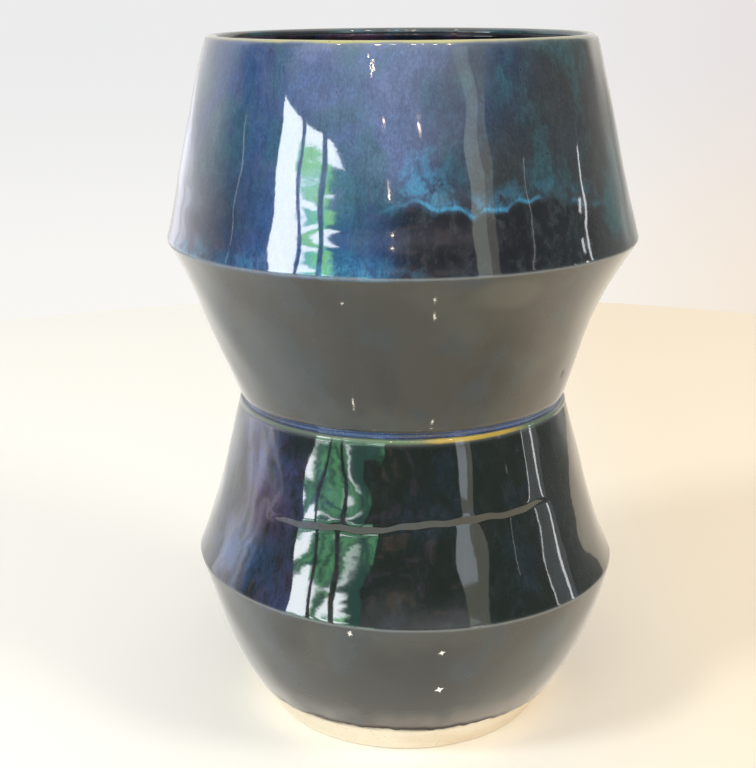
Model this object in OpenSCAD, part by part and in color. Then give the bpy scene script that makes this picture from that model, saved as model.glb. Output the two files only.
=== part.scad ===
// Stoneware vase of two thrown sections, luted together with slip at the waist
// and glazed inside and out above a bare foot.
// Millimetres, +Z up. The origin is the centre of the circle that the foot stands on.

/* [Heights] */
// Crest of the lip, the overall height
vase_h = 297.5; // [294:0.5:302]
// Upper shoulder, the sharp line round the widest part
shoulder_z = 214.8; // [212:0.2:218]
// Top of the ledge at the waist
waist_z = 144.4; // [142:0.2:146]
// Lower shoulder, the sharp line round the lower section
lower_shoulder_z = 72.2; // [70:0.2:75]
// Lower edge of the glaze, with bare clay below it
glaze_line_z = 14.7; // [12:0.1:18]

/* [Radii over the glaze] */
// Top of the wall, just under the lip
lip_r = 80.9; // [79:0.1:83]
// Upper shoulder, the widest line
shoulder_r = 100; // [98:0.2:102]
// Rounded edge of the ledge at the waist
waist_r = 71.7; // [70:0.1:74]
// Lower shoulder
lower_shoulder_r = 93.1; // [91:0.1:95]
// Bottom of the bowl, just above the foot's bevel
foot_r = 61.9; // [60:0.1:64]

/* [Bow of the walls, outwards from a straight cone] */
// Bowl, near the foot
bowl_bow_low = 4.9; // [3:0.1:6]
// Bowl, near the lower shoulder
bowl_bow_high = 3.6; // [2:0.1:5]
// Wall above the lower shoulder, near the shoulder
collar_bow_low = -2.4; // [-4:0.1:0]
// Wall above the lower shoulder, near the ledge
collar_bow_high = -0.6; // [-2:0.1:1]
// Underside of the upper section, near the waist
funnel_bow_low = -1.1; // [-3:0.1:1]
// Underside of the upper section, near the upper shoulder
funnel_bow_high = -3.3; // [-5:0.1:0]
// Wall above the upper shoulder, near the shoulder
rim_bow_low = -0.6; // [-2:0.1:1]
// Wall above the upper shoulder, near the lip
rim_bow_high = 1.0; // [-1:0.1:2]

/* [Thicknesses] */
// Fired glaze coat
glaze_t = 0.7; // [0.5:0.1:1]
// Clay wall at the foot
foot_wall_t = 8; // [7:0.5:9]
// Clay wall at the waist
waist_wall_t = 5.6; // [5:0.1:6]
// Lip over both glazes
lip_t = 5.2; // [4.8:0.1:5.6]
// Clay floor above the foot's recess
floor_t = 8; // [7:0.5:9]

/* [Foot and waist joint] */
// Depth of the recess turned under the foot
recess_h = 2.5; // [1.5:0.5:3.5]
// Width of the ring that the vase stands on
foot_ring_w = 11; // [8:1:14]
// Bevel at the foot's outer and inner edges
foot_bevel = 1.2; // [0.6:0.2:1.6]
// Slip between the two sections
slip_t = 0.8; // [0.6:0.1:1]
// How far the ledge stands out past the section that sits on it
ledge_step = 2.8; // [2.6:0.1:3.2]
// Rounding of the ledge's outer edge
ledge_round = 2; // [1.6:0.1:2.2]
// Height of the rounded bottom edge of the upper section
heel_h = 3.7; // [3.4:0.1:4]
// How far that rounded edge widens upwards
heel_flare = 3.2; // [3:0.1:3.4]

/* [Hidden] */

turn_fn = 180;          // facets of a full turn on screen
wall_steps = 14;        // straight pieces along each of the four walls
round_steps = 6;        // straight pieces along each small rounding
lip_drop = 2.5;         // height of the rounded lip
floor_flat_r = 43;      // radius of the flat middle of the floor
floor_curve_h = 16;     // height of the curve between the floor and the wall
pool_climb = 3;         // roundings of the heel that the pooled glaze covers

bare_clay = [0.85, 0.77, 0.64];
upper_clay_tint = [0.80, 0.71, 0.58];
slip_tint = [0.72, 0.64, 0.53];
blue_glaze = [0.10, 0.20, 0.36];
dark_glaze = [0.07, 0.10, 0.15];
pooled_glaze = [0.05, 0.13, 0.32];

// Levels and radii that the joint at the waist fixes
land_z = waist_z - glaze_t;
seat_z = land_z + slip_t;
seat_r = waist_r - ledge_step - glaze_t;
neck_r = waist_r - ledge_step;
neck_z = waist_z + slip_t;
throat_r = waist_r - glaze_t - waist_wall_t;
heel_top = [neck_r + heel_flare, neck_z + heel_h];
floor_z = recess_h + floor_t;
mouth_r = lip_r - lip_t;
lip_z = vase_h - lip_drop;

// Points of a wall between two ends, pushed out from the straight line by
// bow_a near its lower end and bow_b near its upper end
function wall(low, high, bow_a, bow_b) =
    let (
        along = high - low,
        out = [along[1], -along[0]] / norm(along),
        a = low + along / 3 + out * bow_a * 4 / 3,
        b = low + along * 2 / 3 + out * bow_b * 4 / 3
    )
    [for (i = [0 : wall_steps])
        let (t = i / wall_steps, s = 1 - t)
        s * s * s * low + 3 * s * s * t * a + 3 * s * t * t * b + t * t * t * high];

// Points of a rounding from one end to the other, drawn towards a corner
function rounding(start, corner, end) =
    [for (i = [0 : round_steps])
        let (t = i / round_steps, s = 1 - t)
        s * s * start + 2 * s * t * corner + t * t * end];

// Unit normal on the right of the line from one point to the next, which is
// the outside of a path that climbs the vase's right-hand wall
function side(a, b) = [b[1] - a[1], a[0] - b[0]] / norm(b - a);

// The point of a climbing path at a height
function at_height(path, z) =
    let (
        i = len([for (p = path) if (p[1] < z) p]),
        part = (z - path[i - 1][1]) / (path[i][1] - path[i - 1][1])
    )
    path[i - 1] + (path[i] - path[i - 1]) * part;

// The point a length ahead of a path's end, straight on
function ahead(path, length) =
    let (last = len(path) - 1, step = path[last] - path[last - 1])
    path[last] + step * length / norm(step);

// A path moved inwards, by depth_a at its start changing evenly to depth_b at its end
function inset(path, depth_a, depth_b) =
    let (last = len(path) - 1)
    [for (i = [0 : last])
        let (
            before = side(path[max(i - 1, 0)], path[max(i, 1)]),
            after = side(path[min(i, last - 1)], path[min(i + 1, last)]),
            depth = depth_a + (depth_b - depth_a) * i / last
        )
        path[i] - depth * (before + after) / (1 + before * after)];

// Stretches of a path: all of it backwards, all but its first point, all but both ends
function reverse(path) = [for (i = [len(path) - 1 : -1 : 0]) path[i]];
function rest(path) = [for (i = [1 : len(path) - 1]) path[i]];
function middle(path) = [for (i = [1 : len(path) - 2]) path[i]];

bowl = wall([foot_r, foot_bevel], [lower_shoulder_r, lower_shoulder_z],
            bowl_bow_low, bowl_bow_high);
collar = wall([lower_shoulder_r, lower_shoulder_z], [waist_r, waist_z - ledge_round],
              collar_bow_low, collar_bow_high);
funnel = wall(heel_top, [shoulder_r, shoulder_z], funnel_bow_low, funnel_bow_high);
rim = wall([shoulder_r, shoulder_z], [lip_r, lip_z], rim_bow_low, rim_bow_high);

ledge = concat(
    rounding([waist_r, waist_z - ledge_round], [waist_r, waist_z],
             [waist_r - ledge_round, waist_z]),
    [[seat_r, waist_z]]);
heel = rounding([neck_r, neck_z], ahead(reverse(funnel), heel_h / 2), heel_top);
lip_crest = [lip_r - lip_t / 2, vase_h];
lip_inner = [mouth_r, lip_z];
lip = concat(
    rounding([lip_r, lip_z], ahead(rim, lip_drop), lip_crest),
    rest(rounding(lip_crest, [mouth_r, vase_h], lip_inner)));

// Whole outsides of the two sections, over the glaze and over the clay
lower_outside = concat(bowl, rest(collar), rest(ledge));
upper_outside = concat(heel, rest(funnel), rest(rim), rest(lip));
lower_clay = inset(lower_outside, glaze_t, glaze_t);
upper_clay = inset(upper_outside, glaze_t, glaze_t);

// Insides of the clay, from the floor to the waist and from the waist to the lip
lower_wall = inset(concat(bowl, rest(collar)), foot_wall_t, glaze_t + waist_wall_t);
upper_wall = inset(concat(funnel, rest(rim)), glaze_t + waist_wall_t, lip_t - glaze_t);
bowl_inside = [for (p = lower_wall) if (p[1] > floor_z + floor_curve_h) p];
floor_corner = ahead(reverse(bowl_inside), floor_curve_h);
lower_inside = concat(
    rounding([floor_flat_r, floor_z], [floor_corner[0], floor_z], bowl_inside[0]),
    rest(bowl_inside),
    [[throat_r, land_z]]);
upper_inside = concat(
    [[throat_r, seat_z]],
    rest([for (p = upper_wall) if (p[1] < lip_z - lip_drop) p]),
    [upper_clay[len(upper_clay) - 1]]);

module turned(outline) {
    rotate_extrude($fn = turn_fn) polygon(outline);
}

// Lower thrown section: foot, floor, bowl, lower shoulder and the wall up to the ledge
module lower_section() {
    ring_out = foot_r - glaze_t - foot_bevel;
    ring_in = ring_out - foot_ring_w;
    color(bare_clay) turned(concat(
        [[0, recess_h], [ring_in - foot_bevel, recess_h], [ring_in, 0], [ring_out, 0]],
        lower_clay,
        reverse(lower_inside),
        [[0, floor_z]]));
}

// Upper thrown section: rounded bottom edge, funnel, upper shoulder, wall and lip
module upper_section() {
    color(upper_clay_tint) turned(concat(
        [[throat_r, seat_z], [seat_r, seat_z]], upper_clay, reverse(middle(upper_inside))));
}

// Ring of fired slip that joins the two sections
module waist_slip_joint() {
    color(slip_tint) turned([
        [throat_r, land_z], [seat_r, land_z], [seat_r, seat_z], [throat_r, seat_z]]);
}

// Glaze outside the lower section, from the glaze line to the ledge
module lower_outer_glaze() {
    last = len(lower_outside) - 1;
    first = len([for (p = lower_outside) if (p[1] < glaze_line_z) p]);
    color(dark_glaze) turned(concat(
        [at_height(lower_outside, glaze_line_z)],
        [for (i = [first : last]) lower_outside[i]],
        [for (i = [last : -1 : first]) lower_clay[i]],
        [at_height(lower_clay, glaze_line_z)]));
}

// Glaze outside the upper section and over its lip
module upper_outer_glaze() {
    color(blue_glaze) turned(concat(upper_outside, reverse(upper_clay)));
}

// Glaze that pooled in the groove between the ledge and the upper section
module waist_glaze_pool() {
    shore = [waist_r - ledge_round, waist_z];
    crest = heel[pool_climb];
    hollow = (shore + crest + 2 * heel[0]) / 4;
    color(pooled_glaze) turned(concat(
        [[seat_r, waist_z]],
        rounding(shore, hollow, crest),
        [for (i = [pool_climb - 1 : -1 : 0]) heel[i]],
        [upper_clay[0], [seat_r, seat_z]]));
}

// Glaze that lines the floor and wall of the lower section and covers the joint
module lower_inner_glaze() {
    color(dark_glaze) turned(concat(
        [[0, floor_z]], lower_inside,
        [[throat_r, seat_z], [throat_r - glaze_t, seat_z]],
        reverse(inset(lower_inside, glaze_t, glaze_t)),
        [[0, floor_z + glaze_t]]));
}

// Glaze that lines the upper section
module upper_inner_glaze() {
    color(dark_glaze) turned(concat(
        upper_inside, [lip_inner],
        reverse(middle(inset(upper_inside, glaze_t, glaze_t))),
        [[throat_r - glaze_t, seat_z]]));
}

lower_section();
upper_section();
waist_slip_joint();
lower_outer_glaze();
upper_outer_glaze();
waist_glaze_pool();
lower_inner_glaze();
upper_inner_glaze();
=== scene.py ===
import math

import bpy
import numpy as np
from mathutils import Matrix, Vector


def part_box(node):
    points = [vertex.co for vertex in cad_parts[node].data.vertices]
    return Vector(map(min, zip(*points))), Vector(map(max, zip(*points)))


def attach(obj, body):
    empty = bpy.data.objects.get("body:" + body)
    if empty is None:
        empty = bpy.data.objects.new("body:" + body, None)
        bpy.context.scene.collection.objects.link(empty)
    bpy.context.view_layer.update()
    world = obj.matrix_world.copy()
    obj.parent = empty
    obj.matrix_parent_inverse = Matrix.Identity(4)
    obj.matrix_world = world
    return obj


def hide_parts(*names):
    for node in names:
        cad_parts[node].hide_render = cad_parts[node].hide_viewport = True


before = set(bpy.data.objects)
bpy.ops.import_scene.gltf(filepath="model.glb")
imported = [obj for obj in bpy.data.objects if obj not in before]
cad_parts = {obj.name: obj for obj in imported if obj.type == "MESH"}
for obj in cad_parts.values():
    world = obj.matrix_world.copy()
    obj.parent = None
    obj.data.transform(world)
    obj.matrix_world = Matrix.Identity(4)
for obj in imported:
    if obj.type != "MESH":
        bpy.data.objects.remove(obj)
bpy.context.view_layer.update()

# ---- sizes, in millimetres
MM = 0.001


def box_mm(node):
    """Lowest and highest corners of a CAD node in millimetres."""
    low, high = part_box(node)
    return np.array(low) / MM, np.array(high) / MM


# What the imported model's boxes give
UPPER_LOW, UPPER_HIGH = box_mm("upper_outer_glaze")
LOWER_LOW, LOWER_HIGH = box_mm("lower_outer_glaze")
SLIP_LOW, SLIP_HIGH = box_mm("waist_slip_joint")
LINING_LOW, _ = box_mm("lower_inner_glaze")
VASE_H = UPPER_HIGH[2]
SHOULDER_R = UPPER_HIGH[0]
NECK_Z = UPPER_LOW[2]
WAIST_Z = LOWER_HIGH[2]
LOWER_SHOULDER_R = LOWER_HIGH[0]
GLAZE_LINE_Z = LOWER_LOW[2]
LAND_Z, SEAT_Z = SLIP_LOW[2], SLIP_HIGH[2]
SEAT_R = SLIP_HIGH[0]
FLOOR_Z = LINING_LOW[2]

# What the boxes don't give, as in the CAD source
SHOULDER_Z = 214.8
LOWER_SHOULDER_Z = 72.2
LIP_R = 80.9
LIP_T = 5.2
LIP_DROP = 2.5
WAIST_R = 71.7
FOOT_R = 61.9
FOOT_BEVEL = 1.2
FOOT_RING_W = 11.0
RECESS_H = 2.5
GLAZE_T = 0.7
FOOT_WALL_T = 8.0
WAIST_WALL_T = 5.6
LEDGE_ROUND = 2.0
HEEL_H = 3.7
HEEL_FLARE = 3.2
FLOOR_FLAT_R = 43.0
FLOOR_CURVE_H = 16.0
BOWL_BOW = (4.9, 3.6)
COLLAR_BOW = (-2.4, -0.6)
FUNNEL_BOW = (-1.1, -3.3)
RIM_BOW = (-0.6, 1.0)

NECK_R = SEAT_R + GLAZE_T
THROAT_R = WAIST_R - GLAZE_T - WAIST_WALL_T
MOUTH_R = LIP_R - LIP_T
LIP_Z = VASE_H - LIP_DROP
LIP_CREST = (LIP_R - LIP_T / 2, VASE_H)

# How finely the pieces are meshed
COLUMNS = 384
WALL_STEPS = 80
INSIDE_STEPS = 4  # rows to each of the CAD model's steps, inside
CAD_STEPS = 14  # straight pieces along each wall of the CAD model
ROUND_STEPS = 8
CURVE_STEPS = 6  # rows in the roundings inside the vase and under its foot
FLOOR_STEPS = 24
RECESS_STEPS = 16
BACK_ROWS = 6  # one row in so many is kept on the back of the outer glaze,
CLAY_ROWS = 3  # on the lower clay behind it
INSIDE_ROWS = 2  # and on the faces where clay and lining meet
POLE_R = 1e-6
SHARP = 0.9  # how much of each wall a shoulder's rounding takes up


# ---- outlines
def joined(*parts):
    """Lists of points as one array."""
    return np.concatenate(parts)


def wall(low, high, bows, steps):
    """A wall between two points, pushed out from the straight line near each end."""
    low, high = np.array(low, float), np.array(high, float)
    along = high - low
    out = np.array([along[1], -along[0]]) / np.linalg.norm(along)
    near = low + along / 3 + out * bows[0] * 4 / 3
    far = low + along * 2 / 3 + out * bows[1] * 4 / 3
    t = np.linspace(0, 1, steps + 1)[:, None]
    s = 1 - t
    return s**3 * low + 3 * s**2 * t * near + 3 * s * t**2 * far + t**3 * high


def rounding(start, corner, end, steps=ROUND_STEPS):
    """A rounding from one point to another, drawn towards a corner."""
    start, corner, end = (np.array(p, float) for p in (start, corner, end))
    t = np.linspace(0, 1, steps + 1)[:, None]
    s = 1 - t
    return s**2 * start + 2 * s * t * corner + t**2 * end


def ahead(path, length):
    """The point a length past a path's end, straight on."""
    step = path[-1] - path[-2]
    return path[-1] + step * length / np.linalg.norm(step)


def softened(first, second):
    """Two walls joined at a shoulder, with its sharp line rounded over."""
    corner = first[-1]
    first = first[np.linalg.norm(first - corner, axis=1) > SHARP]
    second = second[np.linalg.norm(second - corner, axis=1) > SHARP]
    bend = rounding(first[-1], corner, second[0])
    return joined(first, bend[1:-1], second)


def smoothed(path):
    """A smooth curve through a path's points."""
    ends = joined(2 * path[:1] - path[1:2], path, 2 * path[-1:] - path[-2:-1])
    before, low, high, after = (ends[i:len(path) - 1 + i] for i in range(4))
    curve = []
    for t in np.arange(INSIDE_STEPS) / INSIDE_STEPS:
        bend = (2 * before - 5 * low + 4 * high - after) * t**2
        swing = (3 * low - before - 3 * high + after) * t**3
        curve.append((2 * low + (high - before) * t + bend + swing) / 2)
    return joined(np.stack(curve, 1).reshape(-1, 2), path[-1:])


def inset(path, start, end=None):
    """A path moved inwards, by start at its first point changing evenly to end."""
    end = start if end is None else end
    step = np.diff(path, axis=0)
    step /= np.linalg.norm(step, axis=1)[:, None]
    side = np.stack([step[:, 1], -step[:, 0]], 1)
    before = joined(side[:1], side)
    after = joined(side, side[-1:])
    facing = (before * after).sum(1)[:, None]
    depth = np.linspace(start, end, len(path))[:, None]
    return path - depth * (before + after) / (1 + facing)


def walls(steps):
    """The bowl, collar, funnel and rim: the four walls between foot, shoulders, waist and lip."""
    heel_top = (NECK_R + HEEL_FLARE, NECK_Z + HEEL_H)
    lower_shoulder = (LOWER_SHOULDER_R, LOWER_SHOULDER_Z)
    shoulder = (SHOULDER_R, SHOULDER_Z)
    return (
        wall((FOOT_R, FOOT_BEVEL), lower_shoulder, BOWL_BOW, steps),
        wall(lower_shoulder, (WAIST_R, WAIST_Z - LEDGE_ROUND), COLLAR_BOW, steps),
        wall(heel_top, shoulder, FUNNEL_BOW, steps),
        wall(shoulder, (LIP_R, LIP_Z), RIM_BOW, steps))


def make_outsides():
    """The outsides of both sections and of the heel, as arrays of radius and height."""
    bowl, collar, funnel, rim = walls(WALL_STEPS)
    ledge = rounding((WAIST_R, WAIST_Z - LEDGE_ROUND), (WAIST_R, WAIST_Z),
                     (WAIST_R - LEDGE_ROUND, WAIST_Z))
    heel = rounding((NECK_R, NECK_Z), ahead(funnel[::-1], HEEL_H / 2), funnel[0])
    lip_out = rounding((LIP_R, LIP_Z), ahead(rim, LIP_DROP), LIP_CREST)
    lip_in = rounding(LIP_CREST, (MOUTH_R, VASE_H), (MOUTH_R, LIP_Z))
    lower = joined(softened(bowl, collar), ledge[1:], [[SEAT_R, WAIST_Z]])
    upper = joined(heel[:-1], softened(funnel, rim), lip_out[1:], lip_in[1:])
    return lower, upper, heel


def make_insides(lip_end):
    """The insides of both clay sections, smoothed as fingers leave them."""
    bowl, collar, funnel, rim = walls(CAD_STEPS)
    lower_wall = inset(joined(bowl, collar[1:]), FOOT_WALL_T, GLAZE_T + WAIST_WALL_T)
    upper_wall = inset(joined(funnel, rim[1:]), GLAZE_T + WAIST_WALL_T, LIP_T - GLAZE_T)
    bowl_in = lower_wall[lower_wall[:, 1] > FLOOR_Z + FLOOR_CURVE_H]
    floor_corner = ahead(bowl_in[::-1], FLOOR_CURVE_H)
    floor_curve = rounding((FLOOR_FLAT_R, FLOOR_Z), (floor_corner[0], FLOOR_Z), bowl_in[0],
                           CURVE_STEPS)
    lower = joined(floor_curve, bowl_in[1:-1], [[THROAT_R, LAND_Z]])
    upper = upper_wall[upper_wall[:, 1] < LIP_Z - LIP_DROP]
    upper = joined([[THROAT_R, SEAT_Z]], upper[1:], [lip_end])
    return smoothed(lower), smoothed(upper)


LOWER_OUT, UPPER_OUT, HEEL_OUT = make_outsides()
LOWER_IN, UPPER_IN = make_insides(inset(UPPER_OUT, GLAZE_T)[-1])


# ---- the potter's hand
# Sideways drift of the rings from the axis, as pairs of height and drift
DRIFT = (
    (0, 0.8), (58, 1.4), (92, 0.3), (145, -0.3),
    (182, -1.9), (214, -0.3), (255, -0.8), (298, -0.8))
LOWER_TILT = -0.0186  # slope of the lower shoulder's ring, down to the right
TILT_SPREAD = 36.0  # how far up and down that slope fades out
OVAL = 0.0022  # share of the radius by which the rings are out of round
OVAL_TURN = 0.7
TRUE_Z = 20.0  # the unevenness fades out towards the bottom, below this height,
TRUE_R = 40.0  # and towards the axis, within this radius
WAVE_SLOPE = 0.0042  # slope of each of the waves left by fingers and ribs
WAVES = 26
RIDGE_Z = 109.6  # throwing ridge across the front of the lower section
RIDGE_H = 0.95
RIDGE_RISE = 3.8  # height over which it swells, from below
RIDGE_FALL = 12.0  # and over which it sinks back above
RIDGE_AT = 0.06  # its middle, in radians to the right of the front
RIDGE_REACH = 0.82  # how far it runs to both sides of that
# How it sways, its edge wavers and its height varies: turns, amount and phase
RIDGE_SWAY = ((2, 3.2, 0.42),)
RIDGE_EDGE_WAVES = ((9, 0.4, 0), (17, 0.3, 1), (41, 0.22, 2))
RIDGE_SWELLS = ((6, 0.2, 5), (23, 0.15, 0))

RIB_Z = 230.0  # rings left by the rib above the shoulder
RIB_SPREAD = 17.0  # how far up and down they fade out
RIB_PITCH = 15.5
RIB_H = 0.05
RIB_SWAY = 0.8


def eased(z, stations):
    """A smooth curve through stations of (height, value)."""
    heights, values = np.array(stations, float).T
    i = np.clip(np.searchsorted(heights, z) - 1, 0, len(heights) - 2)
    t = np.clip((z - heights[i]) / (heights[i + 1] - heights[i]), 0, 1)
    return values[i] + (values[i + 1] - values[i]) * t * t * (3 - 2 * t)


def make_waves(seed=5):
    """Low waves in the wall: turns around, radians per millimetre up, phase, height."""
    random = np.random.RandomState(seed)
    waves = []
    for _ in range(WAVES):
        turns = random.randint(1, 22)
        climb = 2 * math.pi / random.uniform(20, 100) * random.choice([-1, 1])
        steepness = math.hypot(turns / SHOULDER_R, climb)
        waves.append((turns, climb, random.uniform(0, 2 * math.pi), WAVE_SLOPE / steepness))
    return waves


HAND_WAVES = make_waves()


def waving(angle, waves):
    """A sum of waves round the vase, each given by its turns, height and phase."""
    return sum(height * np.sin(turns * angle + phase) for turns, height, phase in waves)


def ridge(angle, z):
    """How far the throwing ridge stands out."""
    front = np.mod(angle + math.pi * 1.5, 2 * math.pi) - math.pi
    above = z - RIDGE_Z - waving(front, RIDGE_SWAY) - waving(front, RIDGE_EDGE_WAVES)
    rise = np.clip(above / RIDGE_RISE + 0.5, 0, 1)
    fall = np.exp(-np.clip(above - RIDGE_RISE / 2, 0, None) / RIDGE_FALL)
    share = np.clip(1 - ((front - RIDGE_AT) / RIDGE_REACH) ** 2, 0, 1) ** 0.6
    share = share * (1 + waving(front, RIDGE_SWELLS))
    return RIDGE_H * share * rise * rise * (3 - 2 * rise) * fall


def ribs(angle, z):
    """How far the rib's rings stand out."""
    turn = 2 * math.pi * z / RIB_PITCH + angle + RIB_SWAY * np.sin(2 * angle)
    return RIB_H * np.sin(turn) * np.exp(-((z - RIB_Z) / RIB_SPREAD) ** 2)


def thrown(radius, angle, z):
    """Where a point of the perfect turned shape lies on the vase as it was made by hand."""
    low_waves = sum(height * np.cos(turns * angle + climb * z + phase)
                    for turns, climb, phase, height in HAND_WAVES)
    uneven = ridge(angle, z) + ribs(angle, z) + low_waves
    fade = np.clip(z / TRUE_Z, 0, 1) * np.clip(radius / TRUE_R, 0, 1)
    radius = radius * (1 + OVAL * np.cos(2 * angle + OVAL_TURN) * fade) + uneven * fade
    x = radius * np.cos(angle) + eased(z, DRIFT)
    y = radius * np.sin(angle)
    tilt = LOWER_TILT * np.exp(-((z - LOWER_SHOULDER_Z) / TILT_SPREAD) ** 2)
    return np.stack([x, y, z + tilt * radius * np.cos(angle) * fade], -1)


# ---- meshes
def near(outline, point, width):
    """1 where an outline passes a point, fading to 0 over a width."""
    return np.exp(-(np.linalg.norm(outline - np.array(point), axis=1) / width) ** 2)


def placed(name, data):
    """A new object in the scene."""
    thing = bpy.data.objects.new(name, data)
    bpy.context.scene.collection.objects.link(thing)
    return thing


def turned(name, outline, closed=True, marks=None, move=None):
    """A mesh turned from an outline that climbs the outside and comes down the inside."""
    angles = 2 * math.pi * np.arange(COLUMNS) / COLUMNS
    points = []
    rows = []
    sources = []
    for i, (radius, z) in enumerate(outline):
        start = sum(len(p) for p in points)
        turn = angles[:1] if radius < POLE_R else angles
        ring = (np.full(len(turn), radius), turn, np.full(len(turn), z))
        if move is not None:
            ring = move(i, *ring)
        points.append(thrown(*ring))
        sources += [i] * len(turn)
        rows.append(start + np.arange(COLUMNS) % len(turn))
    faces = []
    following = rows[1:] + rows[:1] if closed else rows[1:]
    for low, high in zip(rows, following):
        for j in range(COLUMNS):
            k = (j + 1) % COLUMNS
            corners = dict.fromkeys(int(v) for v in (low[j], low[k], high[k], high[j]))
            faces.append(tuple(corners))
    mesh = bpy.data.meshes.new(name)
    mesh.from_pydata((np.concatenate(points) * MM).tolist(), [], faces)
    mesh.polygons.foreach_set("use_smooth", [True] * len(mesh.polygons))
    for mark, values in (marks or {}).items():
        layer = mesh.attributes.new(mark, "FLOAT", "POINT")
        layer.data.foreach_set("value", np.asarray(values, np.float32)[sources])
    mesh.validate()
    return placed(name, mesh)


def thinned(outline, steps):
    """Every steps-th point of an outline, with both ends kept."""
    keep = sorted(set(range(0, len(outline), steps)) | {len(outline) - 1})
    return outline[keep]


def dress(piece, node, material):
    """Fixes a piece to the body, in place of its CAD node and material."""
    piece.data.materials.append(material)
    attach(piece, "root")
    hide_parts(node)
    return piece


# ---- pieces
# Waves of the ragged lower edge of the glaze: turns, height and phase
LINE_WAVES = (
    (3, 0.35, 0.4), (7, 0.28, 2.1), (13, 0.26, 4.0),
    (29, 0.22, 1.0), (61, 0.22, 3.1), (89, 0.18, 5.2))
LINE_BLEND = 16.0  # height over which the ragged glaze line straightens out
LINE_DROP = 3.0  # height up to which the clay can show under it
BEAD_H = 1.4  # height of the rolled lower edge of the glaze
BEAD_STEPS = 6
BEAD_GAP = 0.3  # least height between the bead's rows and the next one
EDGE_W = 0.6  # width over which the glaze is thin on a shoulder,
LIP_W = 3.0  # on the lip
LEDGE_W = 1.3  # and on the ledge
LEDGE_AT = (WAIST_R - 0.5, WAIST_Z - 0.9)
DRIP_H = 3.0  # height of the darker run at the glaze's lower edge
STAIN_H = 1.0  # and of the stain on the clay beside it
POOL_SHORE = (WAIST_R - LEDGE_ROUND + 0.5, WAIST_Z - 0.05)
RING_PITCH = 8.5  # spacing of the finger rings inside the vase
RING_DEPTH = 0.22
RING_LEAN = 0.6  # how much a ring moves up for each step outwards
RING_FADE = 12.0  # distance over which the rings grow to their full depth,
RING_LIP_GAP = 8.0  # from this far below the lip
RING_POLE_GAP = 4.0  # and this far from the axis
RING_JOINT_FADE = 5.0  # and over which they grow away from the waist's joint


def glaze_line(angle):
    """Height of the lower edge of the glaze all round."""
    return GLAZE_LINE_Z + waving(angle, LINE_WAVES)


def ragged_edge(outside, clay, front_rows):
    """Moves the lower coat's first rows along the ragged glaze line and rolls their edge."""
    clay_z = np.maximum.accumulate(clay[:, 1])

    def move(i, radius, angle, z):
        if z[0] > GLAZE_LINE_Z + LINE_BLEND:
            return radius, angle, z
        line = glaze_line(angle)
        part = (z - GLAZE_LINE_Z) / LINE_BLEND
        height = line + part * (GLAZE_LINE_Z + LINE_BLEND - line)
        lift = np.clip((height - line) / BEAD_H, 0, 1)
        skin = np.interp(height, clay_z, clay[:, 0])
        full = np.interp(height, outside[:, 1], outside[:, 0])
        coat = np.sqrt(np.clip(1 - (1 - lift) ** 2, 0, 1)) if i < front_rows else 0.0
        return skin + (full - skin) * coat, angle, height
    return move


def lower_glaze_piece(material):
    """The coat outside the lower section, with a ragged, rolled lower edge."""
    outside, clay = LOWER_OUT, inset(LOWER_OUT, GLAZE_T)
    bead = BEAD_H * (1 - np.cos(np.linspace(0, math.pi / 2, BEAD_STEPS)))
    bead_z = GLAZE_LINE_Z + bead[bead < BEAD_H * 0.95]
    start = np.stack([np.interp(bead_z, outside[:, 1], outside[:, 0]), bead_z], 1)
    front = joined(start, outside[outside[:, 1] > bead_z[-1] + BEAD_GAP])
    coated = (clay[:, 1] > GLAZE_LINE_Z) & (clay[:, 0] > SEAT_R - 0.01)
    outline = joined(front, thinned(clay[coated][::-1], BACK_ROWS))
    ledge = near(outline, LEDGE_AT, LEDGE_W)
    shoulder = near(outline, (LOWER_SHOULDER_R, LOWER_SHOULDER_Z), EDGE_W)
    marks = {
        "thin": np.maximum(shoulder, ledge),
        "ledge": ledge,
        "drip": np.exp(-((outline[:, 1] - GLAZE_LINE_Z) / DRIP_H) ** 2),
    }
    move = ragged_edge(outside, clay, len(front))
    piece = turned("lower_glaze", outline, marks=marks, move=move)
    return dress(piece, "lower_outer_glaze", material)


def upper_glaze_piece(material):
    """The coat outside the upper section and over its lip."""
    back = thinned(inset(UPPER_OUT, GLAZE_T)[::-1], BACK_ROWS)
    outline = joined(UPPER_OUT, back)
    marks = {
        "thin": near(outline, (SHOULDER_R, SHOULDER_Z), EDGE_W),
        "lip": near(outline, LIP_CREST, LIP_W),
    }
    piece = turned("upper_glaze", outline, marks=marks)
    return dress(piece, "upper_outer_glaze", material)


def pool_piece(material):
    """Glaze pooled in the groove between the ledge and the upper section."""
    heel = HEEL_OUT[:ROUND_STEPS // 2 + 1]
    shore = np.array(POOL_SHORE)
    hollow = (shore + heel[-1] + 2 * heel[0]) / 4
    clay_foot = inset(UPPER_OUT, GLAZE_T)[0]
    outline = joined(
        [[SEAT_R, shore[1]]], rounding(shore, hollow, heel[-1]),
        heel[-2::-1], [clay_foot, [SEAT_R, SEAT_Z]])
    return dress(turned("waist_pool", outline), "waist_glaze_pool", material)


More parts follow.
